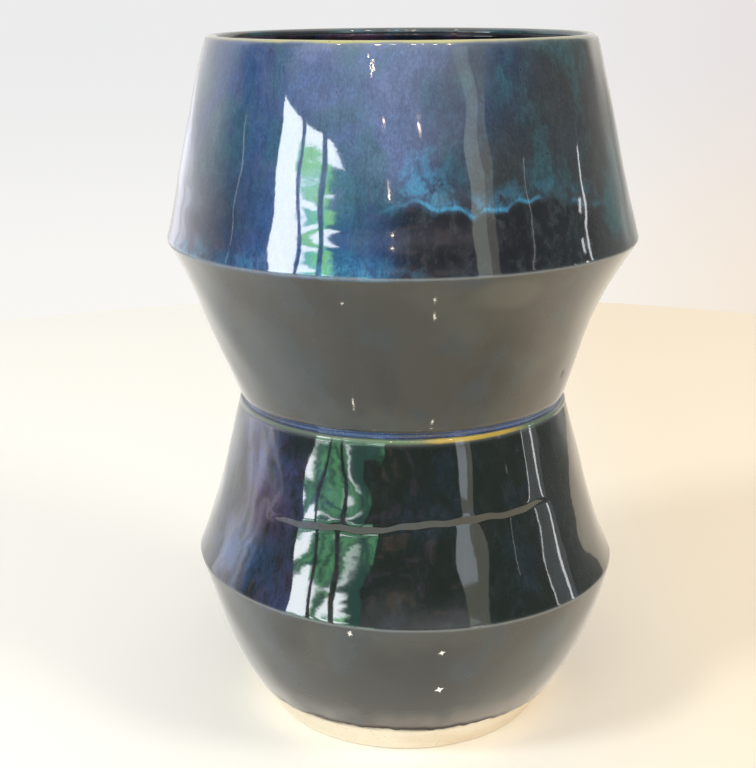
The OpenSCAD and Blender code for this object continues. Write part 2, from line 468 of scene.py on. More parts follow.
def finger_rings(first_row):
    """Moves a lining's glazed face outwards in the rings left by the thrower's fingers."""
    def move(i, radius, angle, z):
        if i < first_row:
            return radius, angle, z
        turn = 2 * math.pi * (z + np.abs(radius - THROAT_R) * RING_LEAN) / RING_PITCH - angle
        below_lip = np.clip((LIP_Z - RING_LIP_GAP - z) / RING_FADE, 0, 1)
        off_axis = np.clip((radius - RING_POLE_GAP) / RING_FADE, 0, 1)
        off_joint = np.clip(np.abs(z - SEAT_Z) / RING_JOINT_FADE, 0, 1)
        depth = RING_DEPTH * (1 + np.cos(turn)) * below_lip * off_axis * off_joint
        on_floor = z < FLOOR_Z + GLAZE_T + 0.01
        outwards = np.where(on_floor, 0, depth * 0.9)
        downwards = np.where(on_floor, depth, 0)
        return radius + outwards, angle, z - downwards
    return move


def lining_pieces(material):
    """The glaze inside both sections."""
    floor_z = FLOOR_Z + GLAZE_T
    floor = [[r, floor_z] for r in np.linspace(2, FLOOR_FLAT_R - 2, FLOOR_STEPS)]
    joint = [[THROAT_R - GLAZE_T, SEAT_Z]]
    lower_skin = joined(LOWER_IN, [[THROAT_R, SEAT_Z]])
    lower_face = joined([[0, floor_z]], floor, inset(LOWER_IN, GLAZE_T)[:-1], joint)
    upper_face = joined(joint, inset(UPPER_IN, GLAZE_T)[1:-1], [[MOUTH_R, LIP_Z]])
    lower_back = joined([[0, FLOOR_Z]], thinned(lower_skin, INSIDE_ROWS))
    upper_back = thinned(UPPER_IN, INSIDE_ROWS)
    lower = turned("lower_lining", joined(lower_back, lower_face[::-1]), closed=False,
                   move=finger_rings(len(lower_back)))
    upper = turned("upper_lining", joined(upper_back, upper_face[::-1]),
                   move=finger_rings(len(upper_back)))
    dress(lower, "lower_inner_glaze", material)
    dress(upper, "upper_inner_glaze", material)


def foot_underside(ring_out):
    """The recess under the foot and the ring that the vase stands on, from the axis outwards."""
    ring_in = ring_out - FOOT_RING_W
    recess_end = ring_in - FOOT_BEVEL
    recess = [[r, RECESS_H] for r in np.linspace(3, recess_end - 1, RECESS_STEPS)]
    step = rounding((recess_end, RECESS_H), (ring_in, RECESS_H), (ring_in, 0.3), CURVE_STEPS)
    ring = [[r, 0] for r in np.linspace(ring_in + 0.5, ring_out - 0.6, CURVE_STEPS)]
    return joined([[0, RECESS_H]], recess, step, ring)


def lower_clay_piece(material):
    """The lower clay section, bare at the foot."""
    outer = inset(LOWER_OUT, GLAZE_T)
    bare = outer[:, 1] < GLAZE_LINE_Z + LINE_DROP
    outer = joined(outer[bare], thinned(outer[~bare], CLAY_ROWS))
    ring_out = FOOT_R - GLAZE_T - FOOT_BEVEL
    bevel = rounding((ring_out, 0), (outer[0][0] - 0.1, 0.1), outer[0], CURVE_STEPS)
    inner = joined([[0, FLOOR_Z]], thinned(LOWER_IN, INSIDE_ROWS))
    outline = joined(foot_underside(ring_out), bevel[:-1], outer, inner[::-1])
    stain = np.exp(-((outline[:, 1] - GLAZE_LINE_Z) / STAIN_H) ** 2)
    stain = stain * (outline[:, 0] > FOOT_R - FOOT_BEVEL)
    piece = turned("lower_clay", outline, closed=False, marks={"stain": stain})
    return dress(piece, "lower_section", material)


def upper_clay_piece(material):
    """The upper clay section, which glaze, slip and lining cover all over."""
    outline = joined(
        [[THROAT_R, SEAT_Z], [SEAT_R, SEAT_Z]], inset(UPPER_OUT, GLAZE_T),
        thinned(UPPER_IN[1:-1][::-1], INSIDE_ROWS))
    return dress(turned("upper_clay", outline), "upper_section", material)


def slip_piece(material):
    """The ring of slip between the two clay sections."""
    outline = [[THROAT_R, LAND_Z], [SEAT_R, LAND_Z], [SEAT_R, SEAT_Z], [THROAT_R, SEAT_Z]]
    return dress(turned("waist_slip", np.array(outline)), "waist_slip_joint", material)


# ---- materials
class Nodes:
    """A node tree, filled by short calls that return the new node's output."""

    def __init__(self, tree):
        self.tree = tree

    def add(self, kind, inputs=None, output=0, **settings):
        node = self.tree.nodes.new("ShaderNode" + kind)
        for key, value in settings.items():
            setattr(node, key, value)
        for key, value in (inputs or {}).items():
            self.put(node.inputs[key], value)
        return node.outputs[output]

    def put(self, socket, value):
        if isinstance(value, bpy.types.NodeSocket):
            self.tree.links.new(value, socket)
        elif socket.type == "RGBA":
            socket.default_value = (*value, 1)
        else:
            socket.default_value = value

    def math(self, operation, a, b=0.0):
        return self.add("Math", {0: a, 1: b}, operation=operation)

    def times(self, *factors):
        product = factors[0]
        for factor in factors[1:]:
            product = self.math("MULTIPLY", product, factor)
        return product

    def plus(self, *terms):
        total = terms[0]
        for term in terms[1:]:
            total = self.math("ADD", total, term)
        return total

    def minus(self, a, b):
        return self.math("SUBTRACT", a, b)

    def band(self, value, low, high):
        """0 at low and 1 at high, with a soft step between."""
        return self.add("MapRange", {
            "Value": value, "From Min": low, "From Max": high}, interpolation_type="SMOOTHSTEP")

    def bump_at(self, value, middle, width):
        """1 at the middle, fading to 0 a width away on both sides."""
        return self.band(self.math("ABSOLUTE", self.minus(value, middle)), width, 0.0)

    def sideways(self, ends):
        """0 at the first of two azimuths and 1 at the second."""
        return self.band(self.azimuth, *ends)

    def upwards(self, ends):
        """0 at the first of two heights and 1 at the second."""
        return self.band(self.height, *ends)

    def beside(self, at):
        """1 at an azimuth, fading to 0 over a reach on both sides."""
        return self.bump_at(self.azimuth, *at)

    def patch(self, at):
        """A soft spot, by the middle and reach of its azimuth and of its height."""
        return self.times(self.beside(at[:2]), self.bump_at(self.height, *at[2:]))

    def facing(self, towards):
        """1 towards an azimuth, 0 at right angles to it and -1 away from it."""
        return self.math("COSINE", self.math("RADIANS", self.minus(self.azimuth, towards)))

    def mix(self, factor, a, b, blend="MIX"):
        return self.add("Mix", {0: factor, 6: a, 7: b}, output=2,
                        data_type="RGBA", blend_type=blend)

    def over(self, base, colour, *shares):
        """A colour laid over a base, as strongly as the product of its shares."""
        return self.mix(self.times(*shares), base, colour)

    def lay(self, colour, *shares):
        """Lays a colour over the one built up so far."""
        self.colour = self.over(self.colour, colour, *shares)

    def noise(self, vector, scale, detail=3.0, roughness=0.55, distortion=0.0):
        return self.add("TexNoise", {
            "Vector": vector, "Scale": scale, "Detail": detail,
            "Roughness": roughness, "Distortion": distortion})

    def locate(self, vector):
        """Sets azimuth, in degrees from the front and growing to the right, and height."""
        apart = self.add("SeparateXYZ", {0: vector}).node
        angle = self.math("ARCTAN2", apart.outputs[0], self.times(apart.outputs[1], -1.0))
        self.azimuth = self.math("DEGREES", angle)
        self.height = apart.outputs[2]


class Surface(Nodes):
    """The nodes of a new material with one Principled shader."""

    def __init__(self, name):
        self.material = bpy.data.materials.new(name)
        self.material.use_nodes = True
        super().__init__(self.material.node_tree)
        self.shader = self.tree.nodes["Principled BSDF"]
        self.locate(self.place())

    def set(self, **values):
        for key, value in values.items():
            self.put(self.shader.inputs[key.replace("_", " ")], value)

    def place(self, up=1.0, shift=(0, 0, 0), across=1.0):
        """The point on the vase in metres, scaled upwards and across, and shifted."""
        here = self.add("TexCoord", output=3)
        scale = (across, across, up)
        return self.add("Mapping", {"Vector": here, "Scale": scale, "Location": shift})

    def mark(self, name):
        return self.add("Attribute", output=2, attribute_name=name)

    def relief(self, height, depth, under=None):
        """A bump of a depth in metres, over another one if given."""
        inputs = {"Height": height, "Strength": 1.0, "Distance": depth}
        if under is not None:
            inputs["Normal"] = under
        return self.add("Bump", inputs)

    def pinholes(self, scale, size):
        """1 in small scattered dots."""
        cells = self.add("TexVoronoi", {"Vector": self.place(), "Scale": scale})
        chosen = self.band(self.noise(self.place(), scale * 0.31, 2), 0.56, 0.62)
        return self.times(self.band(cells, size, size * 0.4), chosen)


CRYSTAL_DARK = (0.85, 0.85, 0.86)
CRYSTAL_LIGHT = (1.16, 1.18, 1.22)
EDGE_SHEEN = 0.6  # soft brightening of the glaze where it turns away
GLAZE_IOR = 1.76  # of a lead-bright glaze, which sets how strongly it mirrors
GLAZE_GLOSS = 0.5
GLAZE_ROUGHNESS = 0.045

COBALT = (0.022, 0.084, 0.235)
SLATE = (0.034, 0.042, 0.044)
TEAL = (0.03, 0.11, 0.135)
LILAC = (0.15, 0.145, 0.275)
TURQUOISE = (0.055, 0.25, 0.43)
NAVY = (0.014, 0.026, 0.07)
INDIGO = (0.034, 0.06, 0.15)
OLIVE_BLACK = (0.007, 0.008, 0.006)
OLIVE_GREY = (0.025, 0.025, 0.019)
STEEL = (0.014, 0.032, 0.044)
SAGE = (0.055, 0.058, 0.044)
PALE_BLUE = (0.145, 0.215, 0.45)
BLUE_BLACK = (0.007, 0.009, 0.011)
GREEN_BLACK = (0.009, 0.015, 0.012)
PLUM = (0.08, 0.03, 0.07)
DARK_PLUM = (0.022, 0.018, 0.03)
LIP_GREEN = (0.44, 0.42, 0.12)
LEDGE_GREEN = (0.1, 0.17, 0.09)
AMBER = (0.42, 0.31, 0.055)
PALE_BREAK = (0.2, 0.23, 0.24)
UMBER = (0.055, 0.036, 0.025)
EDGE_BROWN = (0.045, 0.03, 0.024)
# painted reflection of the bright table, low on the lower wall
TABLE_REFLECTION_BROWN = (0.15, 0.122, 0.102)
POOL_BLUE = (0.01, 0.05, 0.2)
GLITTER = (0.1, 0.35, 0.6)
BUFF = (0.95, 0.865, 0.71)
TAN = (0.74, 0.59, 0.41)
SLIP_TAN = (0.6, 0.48, 0.34)

# Where the colours lie, by azimuths in degrees and heights in metres. An _AT value is a middle and
# a reach, and the other pairs are where a colour starts and where it is full.
UPPER_BLUEST = -32.0
LOWER_BLUEST = -75.0
UNDERSIDE_BLUE_AT = (-48, 44)
MILKY_LEFT = (-48, -24)
MILKY_RIGHT = (30, 0)
MILKY_SIDE = (-64, -90)
VEIL_AT = (-13, 34)
VEIL_RISE = (0.222, 0.262)
DARK_FALL = (0.252, 0.228)
DARK_RIGHT = (-34, -12)
DARK_LEFT = (-30, -50)
LINE_AT = (24, 37)
LINE_CLOUD_AT = (3, 13)
LINE_BACK = (55, 85)
LINE_Z = 0.226  # height of the turquoise line, before its ripples
POOLED = (30, -10)
LIP_FRONT_AT = (-6, 95)
# painted reflection: a pale patch below the upper shoulder, at the right
REFLECTION_PATCH_AT = (25, 15, 0.2065, 0.011)
DULL_FROM = 4.0  # middle of the duller glaze below the shoulder
DULL_ASIDE = (45, 5)
BLUE_CLOUD_AT = (-53, 20, 0.089, 0.018)
PLUM_CLOUD_AT = (-46, 18, 0.11, 0.018)
GOLD_AT = (24, 34)
LEDGE_FRONT_AT = (12, 55)
# heights of the painted reflection of the table, just above the foot
TABLE_REFLECTION_BAND = (0.031, 0.019)
# painted shade: where the bare clay is darker, on the side away from the key light
SHADED_SIDE_AT = (68, 75)
PIT_PLACE = (0.0667, -0.0375, 0.1618)  # a small dark pit in the glaze under the shoulder
SHOULDER_EDGE = (-1.6, 0.2)  # where the colours change, in millimetres from a shoulder's line


def add_crystals(s):
    """Fine light and dark crystals over a glaze's colour."""
    crystals = s.band(s.noise(s.place(0.5), 1300, 3, 0.7), 0.38, 0.7)
    dark = s.mix(1.0, s.colour, CRYSTAL_DARK, "MULTIPLY")
    s.colour = s.mix(crystals, dark, s.mix(1.0, s.colour, CRYSTAL_LIGHT, "MULTIPLY"))


def finish_glaze(s, roughness=GLAZE_ROUGHNESS, gloss=GLAZE_GLOSS):
    """Adds what all the glazes share: pinholes, orange peel, gloss and sheen."""
    s.lay(BLUE_BLACK, s.pinholes(400, 0.15), 0.8)
    dimples = s.relief(s.noise(s.place(), 75, 2, 0.4), 0.000036)
    peel = s.relief(s.noise(s.place(), 230, 2, 0.4), 0.000016, dimples)
    s.set(Base_Color=s.colour, Roughness=roughness, IOR=GLAZE_IOR, Normal=peel)
    s.set(Specular_IOR_Level=gloss, Sheen_Weight=EDGE_SHEEN, Sheen_Roughness=0.35)
    return s.material


def above_edge(s, shoulder_z):
    """0 below a shoulder and 1 above it."""
    return s.upwards([(shoulder_z + off) * MM for off in SHOULDER_EDGE])


def underside(s):
    """The olive-black of the glaze below a shoulder, clouded with grey-green and blue, partly
    glaze colour and partly painted reflection of the table.
    """
    streaks = s.noise(s.place(0.3, (3.0, 1.0, 0)), 26, 2, 0.5)
    patches = s.noise(s.place(0.8, (0.2, 1.9, 0.4)), 34, 3, 0.6)
    pale = s.noise(s.place(1.2, (4.2, 0.6, 1.4)), 22, 3, 0.5)
    base = s.mix(s.band(streaks, 0.36, 0.64), OLIVE_BLACK, OLIVE_GREY)
    blue = s.plus(patches, s.times(s.beside(UNDERSIDE_BLUE_AT), 0.12))
    base = s.over(base, STEEL, s.band(blue, 0.5, 0.7), 0.75)
    return s.over(base, SAGE, s.band(pale, 0.52, 0.7), 0.45)


def upper_glaze_material():
    """Mottled cobalt, teal and lilac above the shoulder, nearly black below it."""
    s = Surface("mottled_blue_glaze")
    wide = s.noise(s.place(0.7, (0.3, 0.1, 0)), 12, 2, 0.5)
    clouds = s.noise(s.place(0.8), 42, 4, 0.6, 0.4)
    mottle = s.noise(s.place(0.7), 190, 4, 0.7, 0.3)
    blue_and_lilac(s, wide, clouds, mottle)
    teal_and_dark(s, wide, mottle)
    turquoise_line(s, mottle)
    shoulder_pool(s, mottle)
    add_crystals(s)
    above = above_edge(s, SHOULDER_Z)
    s.colour = s.mix(above, painted_reflection_patch(s, underside(s), clouds), s.colour)
    lip_break(s, clouds)
    return pitted_finish(s, s.minus(1.0, above))


def blue_and_lilac(s, wide, clouds, mottle):
    """Cobalt towards the left and slate elsewhere, with milky lilac and a pale blue veil."""
    blue = s.times(s.facing(UPPER_BLUEST), 0.4)
    blue_share = s.band(s.plus(blue, s.times(wide, 0.8)), 0.56, 0.84)
    haze = s.band(s.plus(clouds, s.times(mottle, 0.3)), 0.56, 0.84)
    middle = s.times(s.sideways(MILKY_LEFT), s.sideways(MILKY_RIGHT), 0.4)
    side = s.times(s.sideways(MILKY_SIDE), 0.55)
    veil = s.times(s.beside(VEIL_AT), s.upwards(VEIL_RISE), s.band(wide, 0.3, 0.56))
    s.colour = s.mix(blue_share, SLATE, COBALT)
    s.lay(LILAC, haze, blue_share, s.plus(middle, side, 0.08))
    s.lay(PALE_BLUE, veil, s.plus(s.times(clouds, 1.1), 0.15))


def teal_and_dark(s, wide, mottle):
    """Teal clouds, dark runs and specks, and darker glaze lower on the wall."""
    teal_clouds = s.noise(s.place(0.8, (1.7, 4.1, 0.6)), 26, 3, 0.6, 0.5)
    teal = s.band(s.plus(teal_clouds, s.times(mottle, 0.32)), 0.6, 0.84)
    runs = s.noise(s.place(0.12), 520, 3, 0.65)
    low = s.times(s.upwards(DARK_FALL), s.band(wide, 0.64, 0.44))
    s.lay(TEAL, teal, 0.7)
    s.lay(NAVY, s.band(runs, 0.45, 0.75), 0.28)
    s.lay(BLUE_BLACK, s.band(mottle, 0.62, 0.4), 0.22)
    s.lay(DARK_PLUM, low, s.sideways(DARK_RIGHT), 0.75)
    s.lay(NAVY, low, s.sideways(DARK_LEFT), 0.55)


def turquoise_line(s, mottle):
    """A wavering line of turquoise where one dip of glaze ended, darker below it."""
    ripple = s.noise(s.place(0, (0, 0, 2.0)), 26, 1.2, 0.4)
    crinkle = s.noise(s.place(0, (0, 0, 5.0)), 110, 1.5, 0.5)
    line = s.plus(LINE_Z, s.times(ripple, 0.016), s.times(crinkle, 0.01))
    off = s.minus(s.height, line)
    front_right = s.band(s.beside(LINE_AT), 0.02, 0.35)
    elsewhere = s.band(s.noise(s.place(0, (5.2, 0.4, 0)), 11, 1), 0.56, 0.64)
    shown = s.math("MAXIMUM", front_right, s.times(elsewhere, s.sideways(LINE_BACK)))
    under = s.mix(s.band(mottle, 0.45, 0.75), BLUE_BLACK, SLATE)
    s.lay(under, s.band(off, 0.001, -0.003), shown, 0.8)
    patches = s.band(s.noise(s.place(1, (0.7, 0.2, 0.9)), 40, 2), 0.42, 0.62)
    glow = s.times(s.band(off, 0.01, 0.001), s.band(off, -0.0018, 0.0004), patches)
    cloud = s.times(s.band(off, 0.026, 0.007), s.band(off, -0.004, 0.004), 1.2)
    cloud = s.times(s.beside(LINE_CLOUD_AT), cloud)
    glow = s.times(s.math("MAXIMUM", glow, cloud), s.band(mottle, 0.36, 0.62), 0.6)
    breaks = s.band(s.noise(s.place(0.3, (2.2, 0.2, 0.9)), 85, 2), 0.38, 0.6)
    bright = s.times(s.bump_at(off, 0.0003, 0.0013), breaks, 0.6)
    s.lay(TURQUOISE, s.plus(glow, bright), shown)


def shoulder_pool(s, mottle):
    """Glaze that ran down and pooled blue just above the shoulder."""
    patches = s.noise(s.place(0.3, (0.1, 3.3, 0)), 30, 2)
    reach = s.plus((SHOULDER_Z - 2.0) * MM, s.times(patches, 0.022))
    pooled = s.times(s.band(s.height, reach, (SHOULDER_Z - 1.0) * MM), s.band(patches, 0.42, 0.6))
    shown = s.times(s.band(mottle, 0.34, 0.62), s.sideways(POOLED), 0.85)
    s.lay(TURQUOISE, pooled, shown)


def painted_reflection_patch(s, base, clouds):
    """A painted reflection: a pale patch below the shoulder at the right, with a cloudy edge."""
    patch = s.patch(REFLECTION_PATCH_AT)
    uneven = s.plus(patch, s.times(clouds, 0.5), -0.25)
    return s.over(base, SAGE, s.band(uneven, 0.1, 0.75), s.band(patch, 0.0, 0.2), 0.85)


def lip_break(s, clouds):
    """Pale glaze along the shoulder, and pale and yellow-green at the front of the lip."""
    lip = s.mark("lip")
    front = s.plus(0.12, s.times(s.beside(LIP_FRONT_AT), 0.88))
    s.lay(PALE_BREAK, s.plus(s.mark("thin"), s.times(lip, front)), 0.6)
    green = s.band(s.plus(s.times(clouds, 0.7), lip), 0.85, 1.25)
    s.lay(LIP_GREEN, green, front)


def pitted_finish(s, below):
    """The upper coat's gloss, duller at the front under the shoulder, with one dark pit."""
    to_pit = s.add("VectorMath", {0: s.place(), 1: PIT_PLACE}, output=1, operation="DISTANCE")
    pit = s.band(to_pit, 0.0024, 0.0014)
    aside = s.math("ABSOLUTE", s.minus(s.azimuth, DULL_FROM))
    dull = s.times(below, s.band(aside, *DULL_ASIDE))
    gloss = s.plus(GLAZE_GLOSS, s.times(dull, -0.15), s.times(pit, -0.3))
    roughness = s.plus(GLAZE_ROUGHNESS, s.times(pit, 0.4))
    s.lay(BLUE_BLACK, pit)
    return finish_glaze(s, roughness, gloss)


def lower_glaze_material():
    """Blue-black glaze that breaks from green to amber on the ledge."""
    s = Surface("blue_black_glaze")
    clouds = s.noise(s.place(0.6), 44, 4, 0.6, 0.4)
    mottle = s.noise(s.place(0.4, (2.0, 0.3, 0.1)), 170, 4, 0.7)
    indigo_and_plum(s, clouds, mottle)
    add_crystals(s)
    s.colour = s.mix(above_edge(s, LOWER_SHOULDER_Z), underside(s), s.colour)
    s.lay(PALE_BREAK, s.mark("thin"), 0.6)
    ledge_break(s, clouds, mottle)
    return foot_finish(s)


def indigo_and_plum(s, clouds, mottle):
    """Green-black, with indigo, plum and cobalt towards the left."""
    wide = s.noise(s.place(0.8, (0.9, 2.2, 0)), 12, 2)
    blue = s.times(s.facing(LOWER_BLUEST), 0.3)
    blue_share = s.band(s.plus(blue, s.times(wide, 0.7)), 0.48, 0.74)
    spots = s.band(s.plus(clouds, s.times(mottle, 0.4)), 0.74, 0.88)
    speckled = s.band(mottle, 0.3, 0.65)
    s.colour = GREEN_BLACK
    s.lay(SLATE, s.band(mottle, 0.45, 0.75), 0.35)
    s.lay(INDIGO, blue_share, s.band(mottle, 0.3, 0.6))
    s.lay(PLUM, s.band(clouds, 0.5, 0.64), blue_share, 0.8)
    s.lay(COBALT, spots, s.plus(s.times(blue_share, 0.7), 0.05))
    s.lay(COBALT, s.patch(BLUE_CLOUD_AT), speckled, 0.9)
    s.lay(PLUM, s.patch(PLUM_CLOUD_AT), speckled, 0.8)


def ledge_break(s, clouds, mottle):
    """Green glaze where it is thin on the ledge, amber towards the right of the front."""
    gold = s.band(s.plus(s.beside(GOLD_AT), s.times(clouds, 0.4)), 0.45, 0.95)
    front = s.times(s.beside(LEDGE_FRONT_AT), 0.35)
    edge = s.plus(s.mark("ledge"), s.times(mottle, 0.4), s.times(clouds, 0.5), front)
    s.lay(s.mix(gold, LEDGE_GREEN, AMBER), s.band(edge, 1.1, 1.6))


def foot_finish(s):
    """The lower coat's gloss, with a painted reflection of the table as a pale brown band near the
    foot, and a dull, broken edge.
    """
    streaks = s.band(s.noise(s.place(0.2), 40, 2), 0.34, 0.6)
    # painted reflection: a pale brown band near the foot where the wall mirrors the table
    s.lay(TABLE_REFLECTION_BROWN, s.upwards(TABLE_REFLECTION_BAND), streaks, 0.8)
    broken = s.noise(s.place(0.3, (0.5, 0.1, 0)), 60, 2)
    edge = s.plus(s.mark("drip"), s.times(broken, 0.9), -0.45)
    dull = s.band(edge, 0.3, 0.8)
    roughness = s.plus(GLAZE_ROUGHNESS, s.times(dull, 0.4))
    gloss = s.minus(GLAZE_GLOSS, s.times(dull, 0.5))
    s.lay(EDGE_BROWN, s.band(edge, 0.22, 0.62))
    return finish_glaze(s, roughness, gloss)


def pool_material():
    """Thick blue glaze with glittering crystals."""
    s = Surface("pooled_blue_glaze")
    clouds = s.noise(s.place(), 60, 3)
    glitter = s.band(s.noise(s.place(), 1300, 3, 0.7), 0.55, 0.72)
    s.colour = s.mix(s.band(clouds, 0.3, 0.7), NAVY, POOL_BLUE)
    s.lay(GLITTER, glitter, 0.6)
    add_crystals(s)
    return finish_glaze(s)


def lining_material():
    """Blue-black glaze with faint runs down the wall."""
    s = Surface("inner_dark_glaze")
    runs = s.band(s.noise(s.place(0.15), 200, 3), 0.45, 0.7)
    s.colour = s.over(BLUE_BLACK, NAVY, runs, 0.6)
    s.lay(PLUM, s.band(s.noise(s.place(), 40, 4), 0.42, 0.64), 0.6)
    add_crystals(s)
    return finish_glaze(s, roughness=0.08, gloss=0.15)


def clay_material(name, tint, shade):
    """Bare stoneware with turning lines, fine grain, iron specks and painted shade on its right
    side.
    """
    s = Surface(name)
    grain = s.noise(s.place(), 1800, 4, 0.65)
    lines = s.noise(s.place(across=0.03), 1500, 3, 0.6)
    toast = s.noise(s.place(2), 45, 3, 0.5)
    texture = s.plus(s.times(grain, 0.6), s.times(lines, 0.4))
    s.colour = s.over(tint, shade, s.band(toast, 0.42, 0.75), 0.45)
    # painted shade on the right side of the clay
    s.lay(shade, s.beside(SHADED_SIDE_AT), 0.6)
    s.lay(shade, s.band(texture, 0.45, 0.75), 0.3)
    s.lay(UMBER, s.pinholes(700, 0.22), 0.8)
    s.lay(UMBER, s.mark("stain"), s.band(toast, 0.3, 0.6))
    turned_lines = s.relief(lines, 0.00012)
    s.set(Base_Color=s.colour, Roughness=0.82, Normal=s.relief(grain, 0.00006, turned_lines))
    return s.material


def make_vase():
    """Every piece of the vase with its material."""
    clay = clay_material("buff_clay", BUFF, TAN)
    lower_glaze_piece(lower_glaze_material())
    upper_glaze_piece(upper_glaze_material())
    pool_piece(pool_material())
    lining_pieces(lining_material())
    slip = clay_material("fired_slip", SLIP_TAN, TAN)
    lower_clay_piece(clay)
    upper_clay_piece(clay)
    slip_piece(slip)


# ---- camera
CAMERA_AT = (0.0008, -0.5735, 0.3159)
PITCH = math.radians(16.46)
YAW = math.radians(-1.18)
ROLL = math.radians(-0.35)
SENSOR = 36.0
FOCAL_OVER_SENSOR = 1.7513


def make_camera():
    """The camera, in front of the vase and a little above its lip."""
    data = bpy.data.cameras.new("camera")
    data.sensor_width = SENSOR
    data.lens = SENSOR * FOCAL_OVER_SENSOR
    data.clip_start = 0.01
    camera = placed("camera", data)
    turn = (Matrix.Rotation(-YAW, 4, "Z") @ Matrix.Rotation(math.pi / 2 - PITCH, 4, "X")
            @ Matrix.Rotation(ROLL, 4, "Z"))
    camera.matrix_world = Matrix.Translation(CAMERA_AT) @ turn
    bpy.context.scene.camera = camera


# ---- table and room
TABLE_R = 0.82
TABLE_WHITE = (0.93, 0.93, 0.895)
# painted warm light on the right half of the table
TABLE_PAINTED_WARM_LIGHT = (0.905, 0.8, 0.64)
TABLE_SHADE = (0.88, 0.865, 0.81)
WALL_WHITE = (0.84, 0.84, 0.845)
HORIZON_WHITE = (0.945, 0.935, 0.905)
PINK_WHITE = (0.8, 0.73, 0.71)
WARM_WHITE = (0.9, 0.75, 0.59)
SOFT_LIGHT = (1.0, 0.965, 0.905)
SOFT_POWER = 0.775
LEFT_WALL = (1.12, 1.06, 1.04)
LEFT_LIGHT = (2.0, 2.0, 2.25)
RIGHT_WALL = (1.05, 1.0, 0.92)
BACK_WALL = (0.75, 0.74, 0.72)
ROOM_CEILING = (1.15, 1.12, 1.22)
ROOM_SHADE = (0.09, 0.09, 0.1)
BROWN_SHADE = (0.42, 0.26, 0.2)
PLUM_SHADE = (0.3, 0.2, 0.34)
ROOM_FLOOR = (0.55, 0.54, 0.5)
ROOM_R = 1.5  # how far away the window and the bars of light stand
PANELLING_R = 1.6
AIM = (0, 0, 0.15)
# Soft lamps: name, place, power, size and tint
SOFTBOXES = (
    ("key", (-1.7, -1.25, 2.15), 29.0, 0.55, (0.9, 0.94, 0.95)),
    ("fill", (1.2, -0.7, 1.2), 10.0, 0.45, (1.0, 0.92, 0.8)),
    ("front", (-0.1, -0.75, 0.65), 1.6, 0.5, (1.0, 0.97, 0.92)),
)


def make_table():
    """A round pale table top, painted warmer towards the right as warm light."""
    angles = np.linspace(0, 2 * math.pi, 192, endpoint=False)
    rim = [(TABLE_R * math.cos(a), TABLE_R * math.sin(a), 0.0) for a in angles]
    table = stage_mesh("table", rim, [tuple(range(len(rim)))])
    s = Surface("pale_table")
    faint = s.noise(s.place(), 6, 3)
    across = s.add("SeparateXYZ", {0: s.place()})
    base = s.mix(s.times(faint, 0.15), TABLE_WHITE, TABLE_SHADE)
    # the right half takes the warm tint: painted warm light
    s.set(Base_Color=s.mix(s.band(across, -0.03, 0.2), base, TABLE_PAINTED_WARM_LIGHT), Roughness=0.7)
    table.data.materials.append(s.material)


def stage_mesh(name, corners, faces):
    """A mesh that belongs to the scene and not to the vase."""
    mesh = bpy.data.meshes.new(name)
    mesh.from_pydata(corners, [], faces)
    thing = placed(name, mesh)
    return thing


def on_wall(azimuth, height, distance):
    """A point in front of the vase at an azimuth in degrees, to the right of the camera."""
    turn = math.radians(azimuth)
    return distance * math.sin(turn), -distance * math.cos(turn), height


def only_mirrored(thing):
    """Hides a thing from everything but the glaze's reflections."""
    thing.visible_camera = False
    thing.visible_diffuse = False
    thing.visible_shadow = False
    thing.visible_transmission = False


def upright(start, end, low, high):
    """The corners of a panel between two azimuths and two heights."""
    return (start, low), (end, low), (end, high), (start, high)


def glowing(name, panels, material, distance=ROOM_R):
    """Panels round the vase, each given by its corners' azimuths and heights."""
    corners = [on_wall(*corner, distance) for panel in panels for corner in panel]
    faces = [tuple(range(i, i + 4)) for i in range(0, len(corners), 4)]
    thing = stage_mesh(name, corners, faces)
    thing.data.materials.append(material)
    only_mirrored(thing)


def light_material(name, colour, power):
    """A material that only glows."""
    material = bpy.data.materials.new(name)
    material.use_nodes = True
    n = Nodes(material.node_tree)
    n.tree.nodes.remove(n.tree.nodes["Principled BSDF"])
    glow = n.add("Emission", {"Color": colour, "Strength": power})
    n.put(n.tree.nodes["Material Output"].inputs[0], glow)
    return material


# The window's panes, each by its corners' azimuths and heights
WINDOW_PANES = (
    ((-62, -0.05), (-49.4, -0.05), (-51.6, 0.73), (-63.7, 0.757)),
    ((-47.4, -0.05), (-37.2, -0.05), (-39.7, 0.7), (-49.5, 0.727)),
    ((-35, -0.05), (-25.4, -0.05), (-22.5, 0.62), (-36.8, 0.69)),
    ((-23.4, -0.05), (-14.5, -0.05), (-15, 0.36), (-24, 0.42)),
)
SKY = (0.9, 0.96, 1.0)
LEAVES = (0.19, 0.5, 0.09)
LEAF_EDGE = (0.09, 0.4, 0.3)
LOW_LEAVES = (0.085, 0.27, 0.12)
LEAF_SHADE = (0.016, 0.05, 0.042)
WINDOW_POWER = 11.0


def tree_cover(n, trees):
    """How thickly the trees cover the sky."""
    right = n.sideways((-60, -44))
    bough = n.times(n.bump_at(n.height, 0.612, 0.024), right)
    left_gap = n.times(n.sideways((-51, -55)), n.upwards((0.3, 0.34)))
    clear = n.plus(n.upwards((0.625, 0.645)), left_gap)
    return n.plus(
        trees, n.times(n.upwards((0.37, 0.3)), 0.2), n.times(right, 0.04),
        n.times(n.sideways((-44, -24)), 0.03), n.times(bough, 0.16),
        n.times(clear, -0.4), -0.1)


